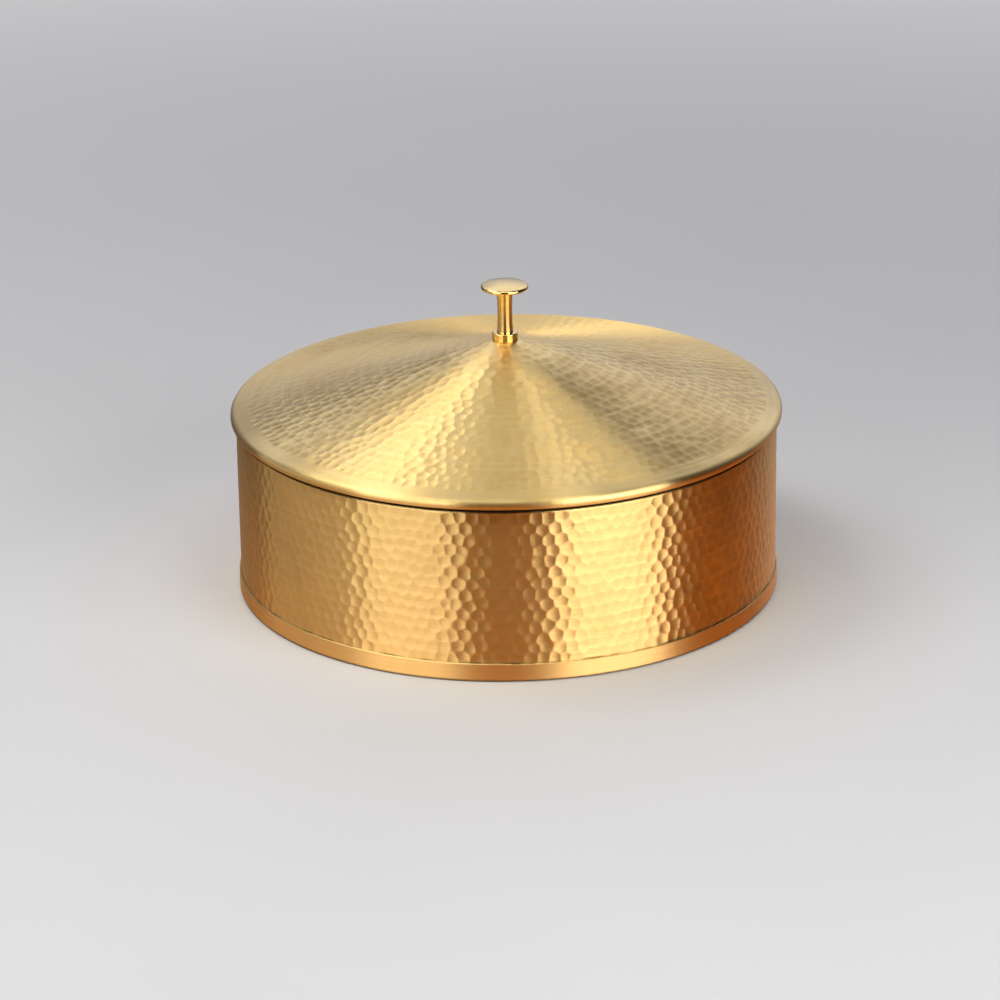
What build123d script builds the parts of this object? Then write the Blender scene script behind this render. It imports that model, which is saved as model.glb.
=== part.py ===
from build123d import *
import math
import os

# A round brass spice box: a box with a shallow conical lid, seven bowls and a spoon.
# Millimetres, +Z up. The origin is the centre of the flat underside of the base pan.

# ---------------------------------------------------------------- box
wall_outer_radius = 107.9
wall_sheet = 1.2
wall_top = 69.1                 # height of the wall's rim above the table
pan_sheet = 0.7
pan_band_height = 7.5           # plain band that the pan turns up round the wall's foot
pan_bend_radius = 1.0           # outer bend between the pan's floor and its band
solder_gap = 0.05

# ---------------------------------------------------------------- lid
lid_diameter = 220.0            # over the bead, the widest part of the box
lid_sheet = 0.9
lid_top = 100.8                 # flat seat for the knob
lid_seat_radius = 5.2
lid_slope = 14.2                # degrees
shoulder_radius = 8.0
bead_radius = 2.2
bead_height = 72.5              # height of the bead's centre
collar_sheet = 0.8
collar_clearance = 0.4          # between the collar's skirt and the wall's inside
collar_ledge_radius = 107.1     # the ledge stops short of the wall's outer face
collar_bottom = 62.0

# ---------------------------------------------------------------- knob and its fastening
knob_foot_radius = 3.3
knob_stem_radius = 2.9
knob_head_radius = 9.4
knob_rim_height = 122.8         # height of the widest part of the head
knob_rim_thickness = 1.7
knob_top = 124.6
knob_collar_radius = 5.2
knob_collar_height = 3.4
screw_radius = 1.45             # M3 thread, drawn plain
screw_tip = 112.0
tapped_hole_radius = 1.5
tapped_hole_end = 113.5
clearance_hole_radius = 1.7
washer_radius = 5.0
washer_thickness = 0.8
screw_head_radius = 2.9
screw_head_height = 1.8
screw_slot_width = 0.8
screw_slot_depth = 0.9

# ---------------------------------------------------------------- bowls
outer_bowls = 6
bowl_rim_radius = 35.0          # over the rim bead
bowl_height = 45.0
bowl_sheet = 0.7
bowl_lean = 4.0                 # degrees, outward
bowl_corner_radius = 7.0
bowl_rim_bead = 0.9
bowl_gap = 0.8                  # between neighbouring rims

# ---------------------------------------------------------------- spoon
spoon_cup_radius = 12.5
spoon_cup_depth = 6.0
spoon_sheet = 1.2
spoon_handle_length = 98.0
spoon_neck_width = 5.0
spoon_end_width = 9.0
spoon_turn = 60.0               # degrees; the handle points to the back right
spoon_cup_reach = 64.0          # distance of the spoon's cup from the box's axis

# ---------------------------------------------------------------- worked out from the above
wall_inner_radius = wall_outer_radius - wall_sheet
band_inner_radius = wall_outer_radius + solder_gap
band_outer_radius = band_inner_radius + pan_sheet
bead_centre_radius = lid_diameter / 2 - bead_radius
bead_bottom = bead_height - bead_radius
collar_outer_radius = wall_inner_radius - collar_clearance
collar_inner_radius = collar_outer_radius - collar_sheet
knob_bottom = lid_top + knob_collar_height
washer_top = lid_top - lid_sheet
screw_head_top = washer_top - washer_thickness
bowl_spacing = 2 * bowl_rim_radius + bowl_gap
bowl_rim_top = pan_sheet + bowl_height


def turn(outline):
    """Turn a closed outline, drawn as (radius, height), about the box's axis."""
    return revolve(Plane.XZ * make_face(outline), axis=Axis.Z)


def ring(inner_radius, outer_radius, bottom, height):
    """A plain round tube standing on the given height."""
    solid = Cylinder(outer_radius, height) - Cylinder(inner_radius, height)
    return Pos(0, 0, bottom + height / 2) * solid


def polar(centre, radius, degrees):
    """A point on a circle."""
    angle = math.radians(degrees)
    return (centre[0] + radius * math.cos(angle), centre[1] + radius * math.sin(angle))


# ---------------------------------------------------------------- box
def base_pan():
    """Spun floor whose edge is turned up as the plain band at the foot."""
    inner_bend = pan_bend_radius - pan_sheet
    bend_centre = (band_outer_radius - pan_bend_radius, pan_bend_radius)
    lip = pan_sheet / 2
    lip_centre = (band_outer_radius - lip, pan_band_height - lip)
    return turn(
        [
            Line((0, 0), (bend_centre[0], 0)),
            CenterArc(bend_centre, pan_bend_radius, -90, 90),
            Line((band_outer_radius, pan_bend_radius), (band_outer_radius, lip_centre[1])),
            CenterArc(lip_centre, lip, 0, 180),
            Line((band_inner_radius, lip_centre[1]), (band_inner_radius, pan_bend_radius)),
            CenterArc(bend_centre, inner_bend, 0, -90),
            Line((bend_centre[0], pan_sheet), (0, pan_sheet)),
            Line((0, pan_sheet), (0, 0)),
        ]
    )


def body_wall():
    """Tall round wall, soldered inside the pan's band."""
    wall = ring(wall_inner_radius, wall_outer_radius, pan_bend_radius, wall_top - pan_bend_radius)
    rim = wall.edges().filter_by(GeomType.CIRCLE).group_by(Axis.Z)[-1]
    return fillet(rim, wall_sheet * 0.3)


# ---------------------------------------------------------------- lid
def shoulder():
    """Centre of the shoulder arc, and the direction in degrees from it to the bead's centre.

    The arc touches the cone from below and runs into the bead, so its centre lies
    shoulder_radius under the cone and shoulder_radius - bead_radius from the bead's centre.
    """
    slope = math.radians(lid_slope)
    out = bead_centre_radius - lid_seat_radius
    up = bead_height - lid_top
    bead_along = out * math.cos(slope) - up * math.sin(slope)
    bead_above = out * math.sin(slope) + up * math.cos(slope)
    rise = shoulder_radius + bead_above
    run = math.sqrt((shoulder_radius - bead_radius) ** 2 - rise**2)
    along = bead_along - run
    centre = (
        lid_seat_radius + along * math.cos(slope) - shoulder_radius * math.sin(slope),
        lid_top - along * math.sin(slope) - shoulder_radius * math.cos(slope),
    )
    return centre, 90 - lid_slope - math.degrees(math.atan2(run, rise))


def lid_cone():
    """Hammered cone with a rounded shoulder, a beaded edge and a turned-in flange under it."""
    centre, bead_angle = shoulder()
    cone_angle = 90 - lid_slope
    bead = (bead_centre_radius, bead_height)
    inner_bead = bead_radius - lid_sheet
    inner_shoulder = shoulder_radius - lid_sheet
    seat_inside = lid_seat_radius - lid_sheet * math.tan(math.radians(lid_slope / 2))
    under = lid_top - lid_sheet
    flange_top = bead_bottom + lid_sheet
    hole = clearance_hole_radius
    return turn(
        [
            Line((hole, lid_top), (lid_seat_radius, lid_top)),
            Line((lid_seat_radius, lid_top), polar(centre, shoulder_radius, cone_angle)),
            CenterArc(centre, shoulder_radius, cone_angle, bead_angle - cone_angle),
            CenterArc(bead, bead_radius, bead_angle, -90 - bead_angle),
            Line((bead[0], bead_bottom), (collar_inner_radius, bead_bottom)),
            Line((collar_inner_radius, bead_bottom), (collar_inner_radius, flange_top)),
            Line((collar_inner_radius, flange_top), (bead[0], flange_top)),
            CenterArc(bead, inner_bead, -90, 90 + bead_angle),
            CenterArc(centre, inner_shoulder, bead_angle, cone_angle - bead_angle),
            Line(polar(centre, inner_shoulder, cone_angle), (seat_inside, under)),
            Line((seat_inside, under), (hole, under)),
            Line((hole, under), (hole, lid_top)),
        ]
    )


def lid_collar():
    """Ring of L section under the lid: its ledge rests on the rim, its skirt drops inside."""
    ledge = ring(collar_inner_radius, collar_ledge_radius, wall_top, bead_bottom - wall_top)
    skirt = ring(collar_inner_radius, collar_outer_radius, collar_bottom, wall_top - collar_bottom)
    return ledge + skirt


def knob():
    """Turned knob: slim waisted stem and a thin domed head, with a blind tapped hole below.

    The dome's arc is centred on the axis and runs smoothly into the rounded rim.
    """
    half_rim = knob_rim_thickness / 2
    rim_centre = (knob_head_radius - half_rim, knob_rim_height)
    head_bottom = knob_rim_height - half_rim
    stem_middle = (knob_bottom + head_bottom) / 2
    rise = knob_top - knob_rim_height
    dome_radius = (rim_centre[0] ** 2 + rise**2 - half_rim**2) / (2 * (rise - half_rim))
    dome_centre = (0, knob_top - dome_radius)
    dome_edge = math.degrees(math.acos(rim_centre[0] / (dome_radius - half_rim)))
    profile = [
        Line((0, knob_bottom), (knob_foot_radius, knob_bottom)),
        ThreePointArc(
            (knob_foot_radius, knob_bottom),
            (knob_stem_radius, stem_middle),
            (knob_foot_radius, head_bottom),
        ),
        Line((knob_foot_radius, head_bottom), (rim_centre[0], head_bottom)),
        CenterArc(rim_centre, half_rim, -90, 90 + dome_edge),
        CenterArc(dome_centre, dome_radius, dome_edge, 90 - dome_edge),
        Line((0, knob_top), (0, knob_bottom)),
    ]
    depth = tapped_hole_end - knob_bottom
    hole = Pos(0, 0, knob_bottom + depth / 2) * Cylinder(tapped_hole_radius, depth)
    return turn(profile) - hole


def knob_collar():
    """Turned spacer between the lid and the knob's stem."""
    body = ring(clearance_hole_radius, knob_collar_radius, lid_top, knob_collar_height)
    outer_edges = body.edges().filter_by(GeomType.CIRCLE).sort_by(SortBy.RADIUS)[-2:]
    return fillet(outer_edges, 0.4)


def knob_washer():
    """Flat washer under the lid."""
    return ring(clearance_hole_radius, washer_radius, screw_head_top, washer_thickness)


def knob_screw():
    """Slotted pan-head screw that enters from under the lid."""
    head_bottom = screw_head_top - screw_head_height
    head_middle = Pos(0, 0, screw_head_top - screw_head_height / 2)
    head = head_middle * Cylinder(screw_head_radius, screw_head_height)
    head = fillet(head.edges().group_by(Axis.Z)[0], 0.7)
    slot_middle = Pos(0, 0, head_bottom + screw_slot_depth / 2)
    slot = slot_middle * Box(3 * screw_head_radius, screw_slot_width, screw_slot_depth)
    length = screw_tip - screw_head_top
    shank = Pos(0, 0, screw_head_top + length / 2) * Cylinder(screw_radius, length)
    return head - slot + shank


# ---------------------------------------------------------------- bowls and spoon
def bowl():
    """Small round cup with a flat floor, a rounded corner, leaning side and a beaded rim."""
    lean = math.radians(bowl_lean)
    bead = (bowl_rim_radius - bowl_rim_bead, bowl_height - bowl_rim_bead)
    side_height = bead[1] - bowl_corner_radius * (1 - math.sin(lean))
    floor_radius = bead[0] - bowl_corner_radius * math.cos(lean) - side_height * math.tan(lean)
    corner = (floor_radius, bowl_corner_radius)
    inner_corner = bowl_corner_radius - bowl_sheet
    inner_top = (bead[0] - bowl_sheet / math.cos(lean), bead[1])
    cup = turn(
        [
            Line((0, 0), (corner[0], 0)),
            CenterArc(corner, bowl_corner_radius, -90, 90 - bowl_lean),
            Line(polar(corner, bowl_corner_radius, -bowl_lean), bead),
            Line(bead, inner_top),
            Line(inner_top, polar(corner, inner_corner, -bowl_lean)),
            CenterArc(corner, inner_corner, -bowl_lean, bowl_lean - 90),
            Line((corner[0], bowl_sheet), (0, bowl_sheet)),
            Line((0, bowl_sheet), (0, 0)),
        ]
    )
    rim = revolve(Plane.XZ * Pos(*bead) * Circle(bowl_rim_bead), axis=Axis.Z)
    return cup + rim


def bowl_at(index):
    """One of the bowls in the ring; the first stands at +X."""
    angle = math.radians(index * 360 / outer_bowls)
    return Pos(bowl_spacing * math.cos(angle), bowl_spacing * math.sin(angle), pan_sheet) * bowl()


def spoon_cup():
    """Shallow round cup, part of a hollow ball, with its rim at height 0."""
    ball_radius = (spoon_cup_radius**2 + spoon_cup_depth**2) / (2 * spoon_cup_depth)
    ball = Sphere(ball_radius) - Sphere(ball_radius - spoon_sheet)
    width = 4 * spoon_cup_radius
    below_rim = Pos(0, 0, -spoon_cup_depth) * Box(width, width, 2 * spoon_cup_depth)
    return Pos(0, 0, ball_radius - spoon_cup_depth) * ball & below_rim


def spoon_handle():
    """Flat handle that widens to a rounded end, its top at height 0."""
    start = spoon_cup_radius - spoon_sheet
    end = start + spoon_handle_length
    shape = make_face(
        [
            Line((start, -spoon_neck_width / 2), (end, -spoon_end_width / 2)),
            ThreePointArc(
                (end, -spoon_end_width / 2), (end + spoon_end_width / 2, 0), (end, spoon_end_width / 2)
            ),
            Line((end, spoon_end_width / 2), (start, spoon_neck_width / 2)),
            Line((start, spoon_neck_width / 2), (start, -spoon_neck_width / 2)),
        ]
    )
    return extrude(Pos(0, 0, -spoon_sheet) * shape, spoon_sheet)


def spoon():
    """Spoon lying across the bowls, its handle flat on the rims and its cup inside one bowl."""
    place = Rot(0, 0, spoon_turn) * Pos(-spoon_cup_reach, 0, bowl_rim_top + spoon_sheet)
    return place * (spoon_cup() + spoon_handle())


nodes = {
    "base_pan": base_pan(),
    "body_wall": body_wall(),
    "lid_cone": lid_cone(),
    "lid_collar": lid_collar(),
    "knob": knob(),
    "knob_collar": knob_collar(),
    "knob_washer": knob_washer(),
    "knob_screw": knob_screw(),
    "bowl_centre": Pos(0, 0, pan_sheet) * bowl(),
    "spoon": spoon(),
}
for index in range(outer_bowls):
    nodes[f"bowl_{index + 1}"] = bowl_at(index)

os.makedirs("parts", exist_ok=True)
for name, solid in nodes.items():
    export_step(solid, f"parts/{name}.step")
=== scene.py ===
import math
import random
from collections import namedtuple

import bmesh
import bpy
import numpy as np
from mathutils import Matrix, Vector


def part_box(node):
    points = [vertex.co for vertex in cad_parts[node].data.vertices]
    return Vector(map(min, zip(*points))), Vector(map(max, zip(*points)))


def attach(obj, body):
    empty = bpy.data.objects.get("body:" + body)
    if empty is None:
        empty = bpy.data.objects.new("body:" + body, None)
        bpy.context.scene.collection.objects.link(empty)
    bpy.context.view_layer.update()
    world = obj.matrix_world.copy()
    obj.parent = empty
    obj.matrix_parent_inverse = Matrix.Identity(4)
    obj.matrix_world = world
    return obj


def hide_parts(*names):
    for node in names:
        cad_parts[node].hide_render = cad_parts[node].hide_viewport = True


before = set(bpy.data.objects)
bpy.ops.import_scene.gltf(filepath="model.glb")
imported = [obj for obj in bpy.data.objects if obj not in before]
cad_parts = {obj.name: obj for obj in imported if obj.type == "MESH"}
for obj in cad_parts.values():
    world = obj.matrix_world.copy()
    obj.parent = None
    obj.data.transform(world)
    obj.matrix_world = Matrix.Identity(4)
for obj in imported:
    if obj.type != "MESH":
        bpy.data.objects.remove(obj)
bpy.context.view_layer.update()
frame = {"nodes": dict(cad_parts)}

TAU = 2 * math.pi
MM = 0.001

# ---------------------------------------------------------------- sizes, in metres
band_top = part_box("base_pan")[1].z
wall_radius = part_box("body_wall")[1].x
wall_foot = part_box("body_wall")[0].z
wall_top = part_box("body_wall")[1].z
lid_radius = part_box("lid_cone")[1].x
lid_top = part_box("lid_cone")[1].z
lid_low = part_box("lid_cone")[0].z
seat_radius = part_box("knob_collar")[1].x

wall_sheet = 1.2 * MM
rim_round = 0.36 * MM
lid_sheet = 0.9 * MM
lid_slope = math.radians(14.2)
lid_bore = 1.7 * MM
lid_flange_radius = 105.5 * MM
bead_radius = 2.2 * MM
shoulder_radius = 8.0 * MM

seam_overlap = 0.5 * MM     # how far the hammering starts below the foot band's lip
seat_margin = 0.5 * MM      # plain metal between the knob's seat and the first marks
edge_margin = 7.0 * MM      # plain metal between the last marks and the lid's widest part
edge_ring = 6.0 * MM        # the first mesh ring outside the marks, from the same place
wall_segments = 288
lid_segments = 320
seat_segments = 64
same_angle = 1e-6           # verts of two rings this close in angle are joined straight across

# ---------------------------------------------------------------- hammer marks
Mark = namedtuple("Mark", "along angle depth")
Blow = namedtuple("Blow", "gap row_gap scatter depth depth_scatter ball")

wall_blow = Blow(4.9 * MM, 4.4 * MM, 0.52 * MM, 0.15 * MM, 0.018 * MM, 23 * MM)
lid_blow = Blow(4.4 * MM, 4.5 * MM, 0.66 * MM, 0.16 * MM, 0.025 * MM, 19 * MM)
fewest_marks = 5            # in one row
mark_reach = 3.2            # neighbours looked at, in mark gaps
mark_segment = 1.25 * MM    # longest mesh edge along a ridge between two marks
mark_rings = (0.50, 0.84)   # mesh rings inside each mark, as shares of the way to its ridge
ridge_limit = 0.03 * MM     # a ridge never stands higher than this over the plain sheet
weld = 0.003 * MM           # ridge verts closer than this are one
wall_seed = 11
lid_seed = 23


def wrapped(angle):
    """The same angle between minus and plus half a turn; works on numbers and arrays."""
    return (angle + math.pi) % TAU - math.pi


class Wall:
    """An upright round sheet. A place on it is its height (along) and its angle."""

    upright = True

    def __init__(self, radius):
        self.radius = radius

    def girth(self, along):
        return TAU * self.radius

    def flatten(self, mark, along, angle):
        """Other places, unrolled flat round one mark."""
        return self.radius * wrapped(angle - mark.angle), along - mark.along

    def roll(self, mark, x, y):
        return mark.along + y, mark.angle + x / self.radius

    def place(self, along, angle, lift):
        radius = self.radius + lift
        return Vector((radius * math.cos(angle), radius * math.sin(angle), along))


class Cone:
    """A conical sheet. A place on it is its distance from the tip (along) and its angle."""

    upright = False

    def __init__(self, tip_height, slope):
        self.tip_height = tip_height
        self.sin = math.sin(slope)
        self.cos = math.cos(slope)

    def girth(self, along):
        return TAU * along * self.cos

    def flatten(self, mark, along, angle):
        """Other places, unrolled flat round one mark."""
        turn = wrapped(angle - mark.angle) * self.cos
        return along * np.sin(turn), along * np.cos(turn) - mark.along

    def roll(self, mark, x, y):
        y += mark.along
        return math.hypot(x, y), mark.angle + math.atan2(x, y) / self.cos

    def place(self, along, angle, lift):
        radius = along * self.cos + lift * self.sin
        height = self.tip_height - along * self.sin + lift * self.cos
        return Vector((radius * math.cos(angle), radius * math.sin(angle), height))


def strike(sheet, first, last, blow, seed):
    """Rows of hammer marks between two edges of a sheet, with a hand's scatter."""
    rng = random.Random(seed)
    rows = round((last - first) / blow.row_gap)
    step = (last - first) / rows
    marks = []
    for row in range(rows):
        middle = first + (row + 0.5) * step
        girth = sheet.girth(middle)
        count = max(fewest_marks, round(girth / blow.gap))
        offset = 0.5 * (row % 2) + rng.uniform(-0.15, 0.15)
        for k in range(count):
            along = middle + rng.gauss(0, blow.scatter)
            angle = TAU * ((k + offset) / count + rng.gauss(0, blow.scatter) / girth)
            marks.append(Mark(along, angle, rng.gauss(blow.depth, blow.depth_scatter)))
    return marks


def mirrored(marks, edges, reach):
    """Mirror images of the marks near an edge, so that the last cells end on that edge."""
    return [
        Mark(2 * edge - mark.along, mark.angle, mark.depth)
        for mark in marks
        for edge in edges
        if abs(mark.along - edge) < reach and 2 * edge - mark.along > 0
    ]


def clipped(polygon, qx, qy, limit):
    """The part of a polygon where x * qx + y * qy is at most limit."""
    kept = []
    for k, (ax, ay) in enumerate(polygon):
        bx, by = polygon[(k + 1) % len(polygon)]
        a = ax * qx + ay * qy - limit
        b = bx * qx + by * qy - limit
        if a <= 0:
            kept.append((ax, ay))
        if (a <= 0) != (b <= 0):
            t = a / (a - b)
            kept.append((ax + t * (bx - ax), ay + t * (by - ay)))
    return kept


def cells(sheet, marks, ghosts, blow):
    """Each mark with its cell: the flat polygon in which its hollow is the lowest."""
    everything = marks + ghosts
    alongs = np.array([m.along for m in everything])
    angles = np.array([m.angle for m in everything])
    depths = np.array([m.depth for m in everything])
    reach = mark_reach * blow.gap
    for index, mark in enumerate(marks):
        xs, ys = sheet.flatten(mark, alongs, angles)
        squares = xs**2 + ys**2
        limits = squares / 2 + blow.ball * (mark.depth - depths)
        near = np.nonzero(squares < reach**2)[0]
        polygon = [(-reach, -reach), (reach, -reach), (reach, reach), (-reach, reach)]
        for other in near[np.argsort(squares[near])]:
            if other != index:
                polygon = clipped(polygon, xs[other], ys[other], limits[other])
        yield mark, polygon


def divided(polygon):
    """The polygon with each side divided into short, equal edges."""
    points = []
    for k, (ax, ay) in enumerate(polygon):
        bx, by = polygon[(k + 1) % len(polygon)]
        parts = max(1, round(math.hypot(bx - ax, by - ay) / mark_segment))
        points += [(ax + (bx - ax) * i / parts, ay + (by - ay) * i / parts) for i in range(parts)]
    return points


def hammer(bm, sheet, first, last, blow, seed):
    """Adds a hammered sheet to bm and returns its two open edges, as loops sorted by angle."""
    hollow = bm.verts.layers.float.new("hollow")
    marks = strike(sheet, first, last, blow, seed)
    ghosts = mirrored(marks, (first, last), mark_reach * blow.gap)
    ridge_verts = []

    def vert(mark, x, y):
        lift = min(ridge_limit, (x * x + y * y) / (2 * blow.ball) - mark.depth)
        made = bm.verts.new(sheet.place(*sheet.roll(mark, x, y), lift))
        made[hollow] = min(1.0, max(0.0, -lift / blow.depth))
        return made

    for mark, polygon in cells(sheet, marks, ghosts, blow):
        border = divided(polygon)
        rings = [[vert(mark, share * x, share * y) for x, y in border] for share in (*mark_rings, 1.0)]
        ridge_verts += rings[-1]
        centre = vert(mark, 0.0, 0.0)
        count = len(border)
        for k in range(count):
            after = (k + 1) % count
            bm.faces.new((centre, rings[0][k], rings[0][after]))
            for inner, outer in zip(rings, rings[1:]):
                bm.faces.new((inner[k], outer[k], outer[after], inner[after]))
    bmesh.ops.remove_doubles(bm, verts=ridge_verts, dist=weld)
    return open_loops(bm, sheet, (first + last) / 2)


def open_loops(bm, sheet, middle):
    """The two open edges of a round sheet: the verts before and after its middle."""
    edge_verts = {v for e in bm.edges if e.is_boundary for v in e.verts}
    divide = sheet.place(middle, 0.0, 0.0)
    before, after = [], []
    for v in edge_verts:
        radius = math.hypot(v.co.x, v.co.y)
        is_before = v.co.z < divide.z if sheet.upright else radius < divide.x
        (before if is_before else after).append((math.atan2(v.co.y, v.co.x) % TAU, v))
    return sorted(before, key=lambda p: p[0]), sorted(after, key=lambda p: p[0])


# ---------------------------------------------------------------- turned shapes
def ring(bm, radius, height, count):
    """A level ring of verts, as a loop sorted by angle."""
    angles = [TAU * k / count for k in range(count)]
    return [
        (angle, bm.verts.new((radius * math.cos(angle), radius * math.sin(angle), height)))
        for angle in angles
    ]


def join(bm, one, two):
    """Joins two closed loops with quads if they match, or else with triangles."""
    if len(one) == len(two) and all(abs(p[0] - q[0]) < same_angle for p, q in zip(one, two)):
        for k in range(len(one)):
            after = (k + 1) % len(one)
            bm.faces.new((one[k][1], one[after][1], two[after][1], two[k][1]))
        return
    i = j = 0
    while i < len(one) or j < len(two):
        next_one = one[(i + 1) % len(one)][0] + TAU * ((i + 1) // len(one))
        next_two = two[(j + 1) % len(two)][0] + TAU * ((j + 1) // len(two))
        a, b = one[i % len(one)][1], two[j % len(two)][1]
        if j >= len(two) or (i < len(one) and next_one <= next_two):
            bm.faces.new((a, one[(i + 1) % len(one)][1], b))
            i += 1
        else:
            bm.faces.new((a, two[(j + 1) % len(two)][1], b))
            j += 1


def close_round(bm, start, outline, end):
    """Joins loop start to loop end through rings; outline holds (radius, height, count)."""
    loops = [start] + [ring(bm, *step) for step in outline] + [end]
    for one, two in zip(loops, loops[1:]):
        join(bm, one, two)


def arc(centre, radius, start, end, steps):
    """Points on an arc of the outline, angles in radians."""
    return [
        (
            centre[0] + radius * math.cos(start + (end - start) * k / steps),
            centre[1] + radius * math.sin(start + (end - start) * k / steps),
        )
        for k in range(steps + 1)
    ]


def piece(bm, name, body, node):
    """Makes the finished mesh into an object that stands for a CAD node."""
    bmesh.ops.recalc_face_normals(bm, faces=bm.faces)
    mesh = bpy.data.meshes.new(name)
    bm.to_mesh(mesh)
    bm.free()
    made = bpy.data.objects.new(name, mesh)
    bpy.context.scene.collection.objects.link(made)
    smooth(made)
    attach(made, body)
    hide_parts(node)
    return made


def smooth(thing, crease=math.radians(40)):
    """Smooth shading, with edges sharper than the crease angle left sharp."""
    thing.data.shade_smooth()
    thing.data.set_sharp_from_angle(angle=crease)


# ---------------------------------------------------------------- hammered pieces
def hammered_wall():
    """The wall: hammered outside, smooth inside, with a rounded rim."""
    bm = bmesh.new()
    start = band_top - seam_overlap
    end = wall_top - rim_round
    lower, upper = hammer(bm, Wall(wall_radius), start, end, wall_blow, wall_seed)
    inner = wall_radius - wall_sheet
    outline = arc((wall_radius - rim_round, end), rim_round, math.radians(30), math.pi / 2, 3)
    outline += arc((inner + rim_round, end), rim_round, math.pi / 2, math.pi, 3)
    outline += [(inner, wall_foot), (wall_radius, wall_foot)]
    close_round(bm, upper, [(*p, wall_segments) for p in outline], lower)
    return piece(bm, "hammered_wall", "box", "body_wall")


def lid_shoulder():
    """Centre of the shoulder's arc, and the direction from it to the bead's centre."""
    out = lid_radius - bead_radius - seat_radius
    up = lid_low + bead_radius - lid_top
    bead_along = out * math.cos(lid_slope) - up * math.sin(lid_slope)
    bead_above = out * math.sin(lid_slope) + up * math.cos(lid_slope)
    rise = shoulder_radius + bead_above
    run = math.sqrt((shoulder_radius - bead_radius) ** 2 - rise**2)
    along = bead_along - run
    centre = (
        seat_radius + along * math.cos(lid_slope) - shoulder_radius * math.sin(lid_slope),
        lid_top - along * math.sin(lid_slope) - shoulder_radius * math.cos(lid_slope),
    )
    return centre, math.pi / 2 - lid_slope - math.atan2(run, rise)


def hammered_lid():
    """The lid: hammered cone, smooth margin, shoulder, beaded edge and turned-in flange."""
    bm = bmesh.new()
    cone = Cone(lid_top + seat_radius * math.tan(lid_slope), lid_slope)
    inside = (seat_radius + seat_margin) / cone.cos
    outside = (lid_radius - edge_margin) / cone.cos
    near_tip, near_edge = hammer(bm, cone, inside, outside, lid_blow, lid_seed)
    centre, bead_angle = lid_shoulder()
    cone_angle = math.pi / 2 - lid_slope
    bead = (lid_radius - bead_radius, lid_low + bead_radius)
    under = lid_top - lid_sheet
    seat_under = seat_radius - lid_sheet * math.tan(lid_slope / 2)
    ring_radius = lid_radius - edge_ring
    wide = [(ring_radius, cone.place(ring_radius / cone.cos, 0, 0).z)]
    wide += arc(centre, shoulder_radius, cone_angle, bead_angle, 5)
    wide += arc(bead, bead_radius, bead_angle, -math.pi / 2, 14)[1:]
    wide += [(lid_flange_radius, lid_low), (lid_flange_radius, lid_low + lid_sheet)]
    wide += arc(bead, bead_radius - lid_sheet, -math.pi / 2, bead_angle, 8)
    wide += arc(centre, shoulder_radius - lid_sheet, bead_angle, cone_angle, 4)[1:]
    narrow = [(seat_under, under), (lid_bore, under), (lid_bore, lid_top), (seat_radius, lid_top)]
    outline = [(*p, lid_segments) for p in wide] + [(*p, seat_segments) for p in narrow]
    close_round(bm, near_edge, outline, near_tip)
    return piece(bm, "hammered_lid", "lid", "lid_cone")


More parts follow.
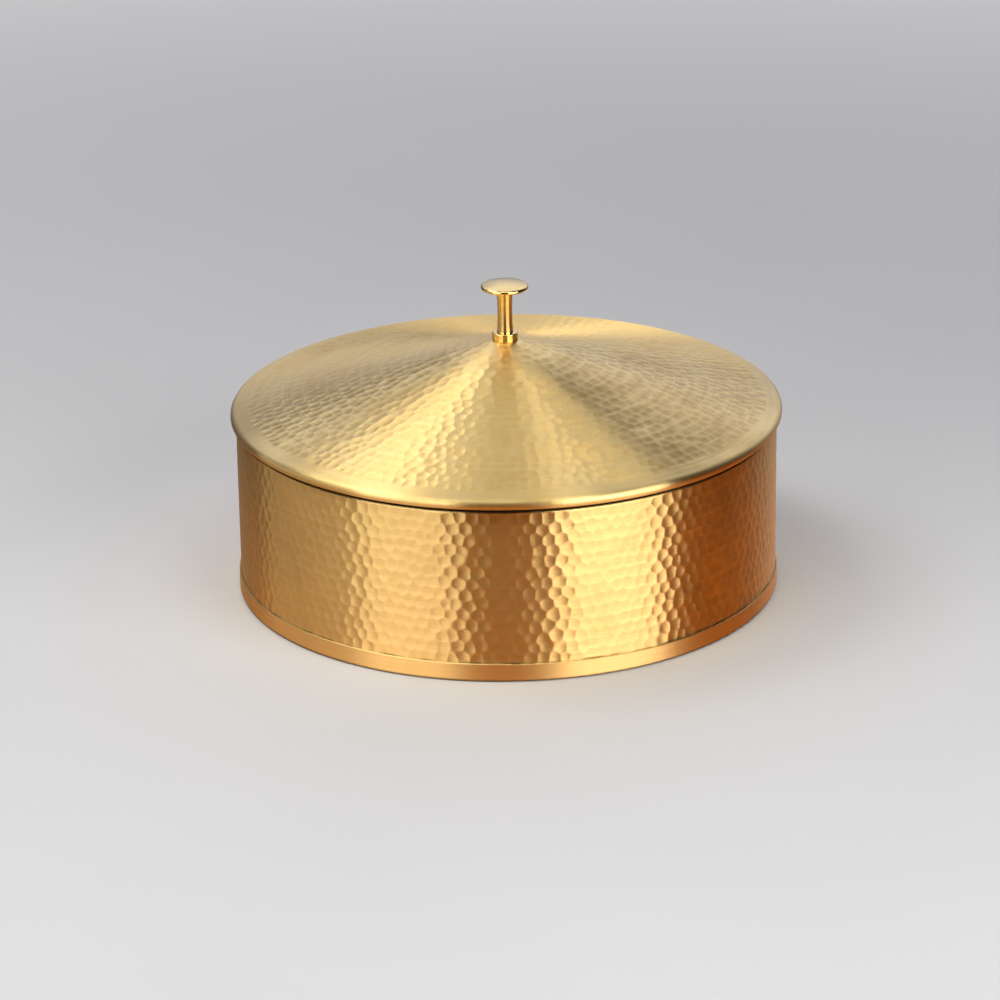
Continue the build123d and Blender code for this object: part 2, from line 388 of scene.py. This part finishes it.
# ---------------------------------------------------------------- materials
class Nodes:
    """Short names for the nodes of one tree."""

    def __init__(self, tree):
        self.tree = tree

    def put(self, target, value):
        """Links a node's output to an input, or sets the input's plain value."""
        if isinstance(value, bpy.types.NodeSocket):
            self.tree.links.new(value, target)
        else:
            target.default_value = value

    def math(self, operation, a, b=0.0, c=0.0):
        node = self.tree.nodes.new("ShaderNodeMath")
        node.operation = operation
        for target, value in zip(node.inputs, (a, b, c)):
            self.put(target, value)
        return node.outputs[0]

    def vector(self, operation, a, b):
        node = self.tree.nodes.new("ShaderNodeVectorMath")
        node.operation = operation
        self.put(node.inputs[0], a)
        self.put(node.inputs[1], b)
        return node.outputs["Value" if operation == "LENGTH" else "Vector"]

    def combine(self, x, y, z):
        node = self.tree.nodes.new("ShaderNodeCombineXYZ")
        for target, value in zip(node.inputs, (x, y, z)):
            self.put(target, value)
        return node.outputs[0]

    def separate(self, vector):
        node = self.tree.nodes.new("ShaderNodeSeparateXYZ")
        self.put(node.inputs[0], vector)
        return node.outputs

    def noise(self, vector, scale, detail=2.0, roughness=0.5):
        node = self.tree.nodes.new("ShaderNodeTexNoise")
        self.put(node.inputs["Vector"], vector)
        node.inputs["Scale"].default_value = scale
        node.inputs["Detail"].default_value = detail
        node.inputs["Roughness"].default_value = roughness
        return node.outputs["Fac"]

    def cells(self, vector, scale):
        node = self.tree.nodes.new("ShaderNodeTexVoronoi")
        self.put(node.inputs["Vector"], vector)
        node.inputs["Scale"].default_value = scale
        return node.outputs

    def ramp(self, value, low, high, to_low=0.0, to_high=1.0):
        """Maps low..high to to_low..to_high, held at both ends."""
        node = self.tree.nodes.new("ShaderNodeMapRange")
        self.put(node.inputs["Value"], value)
        numbers = {"From Min": low, "From Max": high, "To Min": to_low, "To Max": to_high}
        for key, number in numbers.items():
            node.inputs[key].default_value = number
        return node.outputs["Result"]

    def mix(self, share, a, b):
        """Mixes two colours."""
        node = self.tree.nodes.new("ShaderNodeMix")
        node.data_type = "RGBA"
        self.put(node.inputs[0], share)
        self.put(node.inputs[6], a)
        self.put(node.inputs[7], b)
        return node.outputs[2]

    def bump(self, height, distance, normal=None):
        node = self.tree.nodes.new("ShaderNodeBump")
        node.inputs["Strength"].default_value = 1.0
        node.inputs["Distance"].default_value = distance
        self.put(node.inputs["Height"], height)
        if normal is not None:
            self.put(node.inputs["Normal"], normal)
        return node.outputs[0]

    def attribute(self, name):
        node = self.tree.nodes.new("ShaderNodeAttribute")
        node.attribute_name = name
        return node.outputs["Fac"]

    def turned_place(self, size):
        """Position in millimetres from the middle of the piece's foot."""
        generated = self.tree.nodes.new("ShaderNodeTexCoord").outputs["Generated"]
        centred = self.vector("SUBTRACT", generated, (0.5, 0.5, 0.0))
        return self.vector("MULTIPLY", centred, tuple(side / MM for side in size))

    def radius(self, place):
        """Distance from the axis."""
        level = self.vector("MULTIPLY", place, (1.0, 1.0, 0.0))
        return self.vector("LENGTH", level, (0.0, 0.0, 0.0))

    def tangent(self):
        node = self.tree.nodes.new("ShaderNodeTangent")
        node.direction_type = "RADIAL"
        node.axis = "Z"
        return node.outputs[0]

    def ray(self, kind):
        """1 for rays of one kind, such as "Is Camera Ray", and else 0."""
        return self.tree.nodes.new("ShaderNodeLightPath").outputs[kind]


class Paint(Nodes):
    """The nodes of one new material."""

    def __init__(self, name):
        self.material = bpy.data.materials.new(name)
        self.material.use_nodes = True
        super().__init__(self.material.node_tree)
        self.shader = self.tree.nodes["Principled BSDF"]

    def fade(self, share, colour):
        """Fades the material into a plain colour that no light changes."""
        plain = self.tree.nodes.new("ShaderNodeEmission")
        plain.inputs["Color"].default_value = colour
        mixed = self.tree.nodes.new("ShaderNodeMixShader")
        self.put(mixed.inputs[0], share)
        self.put(mixed.inputs[1], self.shader.outputs[0])
        self.put(mixed.inputs[2], plain.outputs[0])
        self.put(self.tree.nodes["Material Output"].inputs["Surface"], mixed.outputs[0])


BRASS = (0.91, 0.66, 0.26, 1.0)
BRASS_WARM = (0.80, 0.52, 0.17, 1.0)
BRASS_DARK = (0.30, 0.17, 0.06, 1.0)
# black of the lid's pits, and also painted shade: under the lid's bead, in the collar's crevice and as
# contact shadow along the foot's lowest edge
PIT_BLACK_AND_PAINTED_SHADE = (0.035, 0.018, 0.006, 1.0)
VERDIGRIS = (0.50, 0.66, 0.52, 1.0)
STEEL = (0.55, 0.55, 0.54, 1.0)
STEEL_BRIGHT = (0.68, 0.67, 0.65, 1.0)
PALE = (0.60, 0.59, 0.575, 1.0)
PALER = (0.64, 0.63, 0.615, 1.0)
BACKDROP = (0.60, 0.60, 0.61, 1.0)
BACKDROP_COOL = (0.93, 0.99, 1.25, 1.0)     # the backdrop as the metal mirrors it
TABLE_LEFT = (0.46, 0.20, 0.03, 1.0)        # the table as the metal mirrors it
TABLE_RIGHT = (0.74, 0.22, 0.02, 1.0)
TABLE_FAR = (0.04, 0.02, 0.01, 1.0)

Finish = namedtuple("Finish", "roughness anisotropy line_gap line_depth wave_depth tarnish")

SATIN = Finish(0.40, 1.0, 0.8, 0.006 * MM, 0.03 * MM, 0.35)
SPUN = Finish(0.43, 0.90, 0.45, 0.012 * MM, 0.01 * MM, 0.30)
POLISHED = Finish(0.15, 0.85, 0.5, 0.003 * MM, 0.004 * MM, 0.25)
BOWL = Finish(0.24, 0.60, 0.6, 0.008 * MM, 0.02 * MM, 0.30)
# the collar's finish: dull, with heavy tarnish that is partly real tarnish and partly painted shade for
# the crevice under the lid's bead
DULL = Finish(0.45, 0.50, 0.6, 0.010 * MM, 0.03 * MM, 0.90)


def turned_brass(name, size, finish, extras=None):
    """Brass finished on a lathe: fine lines run round the axis, so highlights spread across them."""
    paint = Paint(name)
    place = paint.turned_place(size)
    x, y, z = paint.separate(place)
    across = paint.math("SUBTRACT", paint.radius(place), z)
    lines = paint.noise(
        paint.combine(
            paint.math("MULTIPLY", x, 0.03),
            paint.math("MULTIPLY", y, 0.03),
            paint.math("DIVIDE", across, finish.line_gap),
        ),
        1.0,
        detail=3.0,
        roughness=0.6,
    )
    waves = paint.noise(place, 0.45, detail=2.0)
    smudge = paint.noise(place, 0.035, detail=4.0, roughness=0.6)
    grain = paint.noise(place, 2.5, detail=3.0, roughness=0.7)

    tarnish = paint.ramp(smudge, 0.42, 0.68, 0.0, finish.tarnish)
    colour = paint.mix(tarnish, BRASS, BRASS_WARM)
    colour = paint.mix(paint.ramp(grain, 0.55, 0.75, 0.0, 0.12), colour, BRASS_WARM)
    colour = paint.mix(paint.ramp(lines, 0.40, 0.65, 0.0, 0.35), colour, BRASS_WARM)
    roughness = paint.math("ADD", finish.roughness, paint.ramp(smudge, 0.35, 0.7, -0.03, 0.06))
    roughness = paint.math("ADD", roughness, paint.ramp(lines, 0.35, 0.65, -0.03, 0.03))
    normal = paint.bump(lines, finish.line_depth)
    normal = paint.bump(waves, finish.wave_depth, normal)

    shader = paint.shader
    paint.put(shader.inputs["Metallic"], 1.0)
    paint.put(shader.inputs["Anisotropic"], finish.anisotropy)
    paint.put(shader.inputs["Anisotropic Rotation"], 0.25)
    paint.put(shader.inputs["Tangent"], paint.tangent())
    paint.put(shader.inputs["Normal"], normal)
    if extras:
        colour, roughness = extras(paint, place, z, colour, roughness)
    paint.put(shader.inputs["Base Color"], colour)
    paint.put(shader.inputs["Roughness"], roughness)
    return paint.material


def hollows(paint, colour, roughness):
    """Hammer marks hold a little more tarnish in their hollows than on the polished ridges."""
    hollow = paint.attribute("hollow")
    colour = paint.mix(paint.ramp(hollow, 0.1, 0.9, 0.0, 0.22), colour, BRASS_WARM)
    roughness = paint.math("ADD", roughness, paint.ramp(hollow, 0.0, 1.0, -0.05, 0.03))
    return colour, roughness


def wall_extras(paint, place, z, colour, roughness):
    """Hollows, and dirt in the seam above the band."""
    colour, roughness = hollows(paint, colour, roughness)
    seam = (band_top - wall_foot) / MM
    patchy = paint.ramp(paint.noise(place, 0.12, detail=4.0), 0.42, 0.60, 0.15, 1.0)
    dirt = paint.math("MULTIPLY", paint.ramp(z, seam + 0.1, seam + 0.6, 0.75, 0.0), patchy)
    colour = paint.mix(dirt, colour, BRASS_DARK)
    roughness = paint.math("ADD", roughness, paint.math("MULTIPLY", dirt, 0.3))
    return colour, roughness


def lid_extras(paint, place, z, colour, roughness):
    """Hollows, a few pale green spots and dark pits, and painted shade under the bead."""
    colour, roughness = hollows(paint, colour, roughness)
    green = specks(paint, place, 14.0, 0.12, 0.7)
    colour = paint.mix(green, colour, VERDIGRIS)
    pits = specks(paint, place, 9.0, 0.06, 0.35)
    colour = paint.mix(pits, colour, PIT_BLACK_AND_PAINTED_SHADE)
    roughness = paint.math("MULTIPLY_ADD", paint.math("ADD", green, pits), 0.3, roughness)
    # painted shade: the lowest 0.8 mm of the lid, the underside of the bead and the flange, is darkened
    # towards black
    painted_bead_shade = paint.ramp(z, 0.0, 0.8, 0.9, 0.0)
    colour = paint.mix(painted_bead_shade, colour, PIT_BLACK_AND_PAINTED_SHADE)
    streaky = paint.ramp(paint.radius(place), 6.0, 26.0, 0.6, 1.0)
    paint.put(paint.shader.inputs["Anisotropic"], streaky)
    return colour, roughness


def specks(paint, place, gap, share, radius):
    """1 on small round specks, in a share of the cells of about gap millimetres, and else 0."""
    spots = paint.cells(place, 1 / gap)
    chosen = paint.math("LESS_THAN", paint.separate(spots["Color"])[0], share)
    near = paint.ramp(spots["Distance"], 0.7 * radius / gap, 1.2 * radius / gap, 1.0, 0.0)
    return paint.math("MULTIPLY", chosen, near)


def collar_extras(paint, place, z, colour, roughness):
    """The ledge's edge, which stands in the crevice between lid and wall, is painted black as the shade
    in that crevice.
    """
    # painted shade: the collar turns black outward of 1.2 mm inside the wall's outer radius, fading in
    # over 0.4 mm
    painted_crevice_shade = paint.ramp(paint.radius(place), wall_radius / MM - 1.6, wall_radius / MM - 1.2)
    return paint.mix(painted_crevice_shade, colour, PIT_BLACK_AND_PAINTED_SHADE), paint.math("MULTIPLY_ADD", painted_crevice_shade, 0.3, roughness)


def foot_extras(paint, place, z, colour, roughness):
    """The bend that stands on the table is painted dark along its lowest edge, as its contact shadow."""
    # painted shadow: the band darkens towards black below 1.3 mm, where it meets the floor
    painted_contact_shadow = paint.ramp(z, 0.2, 1.3, 0.85, 0.0)
    return paint.mix(painted_contact_shadow, colour, PIT_BLACK_AND_PAINTED_SHADE), paint.math("MULTIPLY_ADD", painted_contact_shadow, 0.3, roughness)


def steel(name):
    """Plated steel of the screw and washer."""
    paint = Paint(name)
    place = paint.turned_place((0.01, 0.01, 0.01))
    grain = paint.noise(place, 3.0, detail=3.0)
    paint.put(paint.shader.inputs["Metallic"], 1.0)
    colour = paint.mix(grain, STEEL, STEEL_BRIGHT)
    paint.put(paint.shader.inputs["Base Color"], colour)
    paint.put(paint.shader.inputs["Roughness"], paint.ramp(grain, 0.3, 0.7, 0.25, 0.4))
    paint.put(paint.shader.inputs["Normal"], paint.bump(grain, 0.01 * MM))
    return paint.material


def wear(thing, material):
    """Gives a piece one material."""
    thing.data.materials.clear()
    thing.data.materials.append(material)


def dress(nodes, wall, lid):
    """Every piece's material."""
    wear(wall, turned_brass("wall_brass", wall.dimensions, SATIN, wall_extras))
    wear(lid, turned_brass("lid_brass", lid.dimensions, SATIN, lid_extras))
    for name in ("knob", "knob_collar", "spoon"):
        wear(nodes[name], turned_brass(name + "_brass", nodes[name].dimensions, POLISHED))
    pan = nodes["base_pan"]
    wear(pan, turned_brass("base_pan_brass", pan.dimensions, SPUN, foot_extras))
    collar = nodes["lid_collar"]
    wear(collar, turned_brass("collar_brass", collar.dimensions, DULL, collar_extras))
    bowl_brass = turned_brass("bowl_brass", nodes["bowl_centre"].dimensions, BOWL)
    screw_steel = steel("screw_steel")
    for name, node in nodes.items():
        if name.startswith("bowl_"):
            wear(node, bowl_brass)
        if name in ("knob_screw", "knob_washer"):
            wear(node, screw_steel)
        smooth(node)


# ---------------------------------------------------------------- stage
def floor():
    """Plain pale floor that fades into the backdrop far away.

    What shiny metal mirrors of it is a warm table that ends near the object.
    """
    half = 4.0
    table_edge = (0.12, 0.50)       # distances over which the mirrored table fades
    backdrop_edge = (0.35, 1.10)    # distances over which the floor fades into the backdrop
    mesh = bpy.data.meshes.new("floor")
    corners = [(-half, -half, 0), (half, -half, 0), (half, half, 0), (-half, half, 0)]
    mesh.from_pydata(corners, [], [(0, 1, 2, 3)])
    made = bpy.data.objects.new("floor", mesh)
    bpy.context.scene.collection.objects.link(made)
    paint = Paint("floor_pale")
    place = paint.tree.nodes.new("ShaderNodeTexCoord").outputs["Object"]
    mottle = paint.noise(place, 6.0, detail=3.0)
    pale = paint.mix(mottle, PALE, PALER)
    away = paint.vector("LENGTH", place, (0.0, 0.0, 0.0))
    across = paint.ramp(paint.separate(place)[0], -0.15, 0.15)
    near = paint.mix(across, TABLE_LEFT, TABLE_RIGHT)
    warm = paint.mix(paint.ramp(away, *table_edge), near, TABLE_FAR)
    mirrored_ray = paint.ray("Is Glossy Ray")
    paint.put(paint.shader.inputs["Base Color"], paint.mix(mirrored_ray, pale, warm))
    paint.put(paint.shader.inputs["Roughness"], 0.35)
    paint.put(paint.shader.inputs["Specular IOR Level"], paint.math("MULTIPLY", mirrored_ray, 0.8))
    far = paint.math("MULTIPLY", paint.ramp(away, *backdrop_edge), paint.ray("Is Camera Ray"))
    paint.fade(far, BACKDROP)
    wear(made, paint.material)


def area_light(name, azimuth, elevation, distance, size, power):
    """A white soft box that faces the box's foot.

    Its place is in degrees and metres: azimuth 0 is the camera's side, positive to its right.
    Its size is (across, up) in metres, its power in watts.
    """
    data = bpy.data.lights.new(name, "AREA")
    data.shape = "RECTANGLE"
    data.size, data.size_y = size
    data.energy = power
    made = bpy.data.objects.new(name, data)
    bpy.context.scene.collection.objects.link(made)
    a, e = math.radians(azimuth), math.radians(elevation)
    away = Vector((math.sin(a) * math.cos(e), -math.cos(a) * math.cos(e), math.sin(e)))
    made.location = away * distance
    made.rotation_mode = "QUATERNION"
    made.rotation_quaternion = away.to_track_quat("Z", "Y")


def room():
    """What surrounds the stage: a pale backdrop behind it, brighter higher up, in a dim room."""
    world = bpy.data.worlds.new("room")
    bpy.context.scene.world = world
    world.use_nodes = True
    nodes = Nodes(world.node_tree)
    x, y, z = nodes.separate(world.node_tree.nodes.new("ShaderNodeTexCoord").outputs["Generated"])
    flat = nodes.vector("LENGTH", nodes.combine(x, y, 0.0), (0.0, 0.0, 0.0))
    fades_from, full_from = math.cos(math.radians(60)), math.cos(math.radians(30))
    behind = nodes.ramp(nodes.math("DIVIDE", y, flat), fades_from, full_from)
    glow = nodes.ramp(z, 0.0, 0.55, 0.34, 1.10)
    from_left = nodes.ramp(nodes.math("DIVIDE", x, flat), -0.40, -0.05, 0.20, 1.0)
    from_left = nodes.math("MAXIMUM", from_left, nodes.ramp(z, 0.25, 0.55))
    overhead = nodes.ramp(z, 0.70, 0.85, 1.0, 0.1)
    backdrop = nodes.math("MULTIPLY", nodes.math("MULTIPLY", behind, glow), overhead)
    backdrop = nodes.math("MULTIPLY", backdrop, from_left)
    seen = nodes.ray("Is Camera Ray")
    unseen = nodes.math("SUBTRACT", 1.0, seen)
    strength = nodes.math("MULTIPLY", unseen, nodes.math("ADD", backdrop, 0.02))
    strength = nodes.math("ADD", seen, strength)
    background = world.node_tree.nodes["Background"]
    nodes.put(background.inputs["Color"], nodes.mix(seen, BACKDROP_COOL, BACKDROP))
    nodes.put(background.inputs["Strength"], strength)


def lights():
    """Soft boxes: two low in front, one high on the left, one overhead, and a white card at the left."""
    area_light("softbox_right", 41.5, 20, 1.1, (0.90, 0.72), 9.0)
    area_light("softbox_left", -41, 19, 1.1, (0.80, 0.62), 4.6)
    area_light("softbox_high", -95, 58, 1.2, (0.70, 0.62), 5.2)
    area_light("softbox_top", 2, 74, 1.2, (0.9, 0.4), 4.0)
    area_light("card_left", -90, 11, 1.1, (1.0, 0.32), 0.95)


def camera():
    """Long lens, looking down a little, rolled a little."""
    distance, elevation, roll = 1.665, math.radians(21.27), math.radians(-0.82)
    target = Vector((-0.0030, 0.0, 0.0324))
    back = Vector((0.0, -math.cos(elevation), math.sin(elevation)))
    data = bpy.data.cameras.new("camera")
    data.sensor_width = 36.0
    data.lens = 148.8
    made = bpy.data.objects.new("camera", data)
    bpy.context.scene.collection.objects.link(made)
    look = back.to_track_quat("Z", "Y").to_matrix().to_4x4()
    place = Matrix.Translation(target + back * distance)
    made.matrix_world = place @ look @ Matrix.Rotation(roll, 4, "Z")
    bpy.context.scene.camera = made


def main():
    wall = hammered_wall()
    lid = hammered_lid()
    dress(frame["nodes"], wall, lid)
    floor()
    room()
    lights()
    camera()
    bpy.context.scene.view_settings.view_transform = "Standard"


main()
